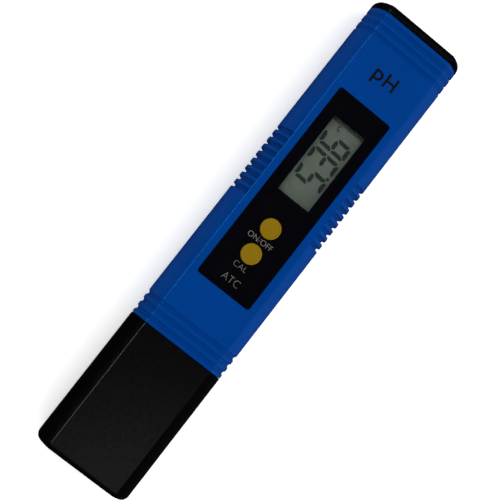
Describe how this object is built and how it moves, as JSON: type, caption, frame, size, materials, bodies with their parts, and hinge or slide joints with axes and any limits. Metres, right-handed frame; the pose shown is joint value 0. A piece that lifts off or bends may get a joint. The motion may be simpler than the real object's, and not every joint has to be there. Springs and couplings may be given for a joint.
{
  "type": "digital ph meter",
  "caption": "Pocket pH meter of the pen type, with a display, keys, a pull-off battery cap and a push-on cap over its glass probe.",
  "frame": {"origin": "middle of the rectangle that the meter covers on the table, on its flat back face", "axes": "+Y from the probe cap to the battery cap, +Z out of the display, +X to the right of the display with the battery cap up"},
  "size_m": [0.031, 0.1554, 0.0166],
  "materials": {
    "blue_plastic": "satin moulded ABS, deep blue",
    "black_plastic": "semi-gloss moulded black plastic",
    "overlay_film": "printed black film with pale lettering",
    "yellow_plastic": "ochre yellow key plastic",
    "clear_plastic": "clear polished acrylic",
    "lcd_glass": "grey-green liquid-crystal glass",
    "reflector_film": "pale grey reflector film",
    "white_plastic": "white moulded frame",
    "board_laminate": "green solder mask over glass laminate",
    "chip_epoxy": "black moulded epoxy",
    "steel": "bright nickel or stainless steel",
    "brass_plate": "sprung plated brass strip",
    "silver_wire": "silver wire with a chloride coat",
    "rubber": "black nitrile rubber",
    "zebra_rubber": "layered conductive silicone",
    "probe_glass": "thin clear electrode glass",
    "epoxy_tube": "translucent grey electrode body",
    "porous_ceramic": "white porous junction",
    "red_wire": "red wire insulation",
    "black_wire": "black wire insulation",
    "sponge": "open-cell soaking sponge"
  },
  "bodies": {
    "meter": {"amplifier_chip": "chip_epoxy", "battery_cell_left": "steel", "battery_cell_right": "steel", "battery_holder": "black_plastic", "battery_lead_negative": "black_wire", "battery_lead_positive": "red_wire", "board_screw_1": "steel", "board_screw_2": "steel", "board_screw_3": "steel", "board_screw_4": "steel", "calibrate_switch": "steel", "cap_o_ring": "rubber", "case_o_ring": "rubber", "cell_bridge": "brass_plate", "circuit_board": "board_laminate", "controller_chip": "chip_epoxy", "display_window": "clear_plastic", "electrode_guard": "black_plastic", "electrode_lead": "black_wire", "electrode_stopper": "rubber", "electrode_tube": "epoxy_tube", "filter_capacitor": "steel", "front_case": "blue_plastic", "front_overlay": "overlay_film", "glass_electrode": "probe_glass", "lcd_frame": "white_plastic", "lcd_front_glass": "lcd_glass", "lcd_front_polarizer": "lcd_glass", "lcd_rear_glass": "lcd_glass", "lcd_reflector": "reflector_film", "measuring_wire": "silver_wire", "memory_chip": "chip_epoxy", "negative_contact": "brass_plate", "positive_contact": "brass_plate", "power_switch": "steel", "probe_mount": "black_plastic", "quartz_crystal": "steel", "rear_case": "blue_plastic", "reference_junction": "porous_ceramic", "reference_wire": "silver_wire", "temperature_sensor": "steel", "thermistor_bead": "chip_epoxy", "thermistor_lead": "red_wire", "zebra_strip_left": "zebra_rubber", "zebra_strip_right": "zebra_rubber"},
    "probe_cap_body": {"probe_cap": "black_plastic", "storage_sponge": "sponge"},
    "battery_cap_body": {"battery_cap": "black_plastic", "battery_cap_seal": "rubber"},
    "power_key": {"power_button": "yellow_plastic", "power_plunger": "black_plastic"},
    "calibrate_key": {"calibrate_button": "yellow_plastic", "calibrate_plunger": "black_plastic"}
  },
  "joints": [
    {"name": "probe_cap_pull", "type": "slide", "parent": "meter", "child": "probe_cap_body", "axis": [0, -1, 0], "range_m": [0, 0.055]},
    {"name": "battery_cap_pull", "type": "slide", "parent": "meter", "child": "battery_cap_body", "axis": [0, 1, 0], "range_m": [0, 0.02]},
    {"name": "power_press", "type": "slide", "parent": "meter", "child": "power_key", "axis": [0, 0, -1], "range_m": [0, 0.0004], "stiffness_N_per_m": 1500},
    {"name": "calibrate_press", "type": "slide", "parent": "meter", "child": "calibrate_key", "axis": [0, 0, -1], "range_m": [0, 0.0004], "stiffness_N_per_m": 1500}
  ]
}
